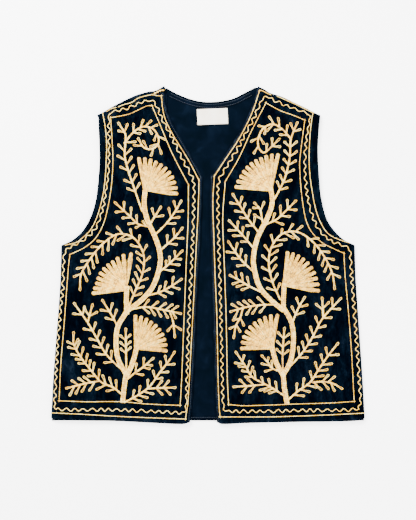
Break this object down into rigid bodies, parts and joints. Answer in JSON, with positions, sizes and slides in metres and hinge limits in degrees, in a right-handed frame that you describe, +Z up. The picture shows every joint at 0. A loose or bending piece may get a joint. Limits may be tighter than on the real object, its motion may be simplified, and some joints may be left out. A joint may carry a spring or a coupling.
{
  "type": "embroidered folk vest",
  "caption": "Open-fronted dark blue velvet folk vest laid flat, its fronts covered with raised cream chain-stitch vines, fan flowers and wavy borders.",
  "frame": {"origin": "on the surface that the vest lies on, under the middle of its outline", "axes": "+X to the wearer's left, +Y to the neck, +Z up from the surface, out of the fronts"},
  "size_m": [0.509, 0.5473, 0.0087],
  "materials": {
    "velvet": "navy cotton velvet with a soft uneven sheen",
    "lining": "matte dark navy plain weave",
    "thread": "cream cotton yarn worked in chain stitch",
    "label": "cream woven satin, bare"
  },
  "bodies": {
    "root": {"back_shell": "velvet", "right_front": "velvet", "left_front": "velvet", "back_lining": "lining", "neck_facing": "lining", "neck_label": "label", "right_vine": "thread", "left_vine": "thread", "right_outer_line": "thread", "left_outer_line": "thread", "left_armhole_line": "thread"}
  },
  "joints": []
}
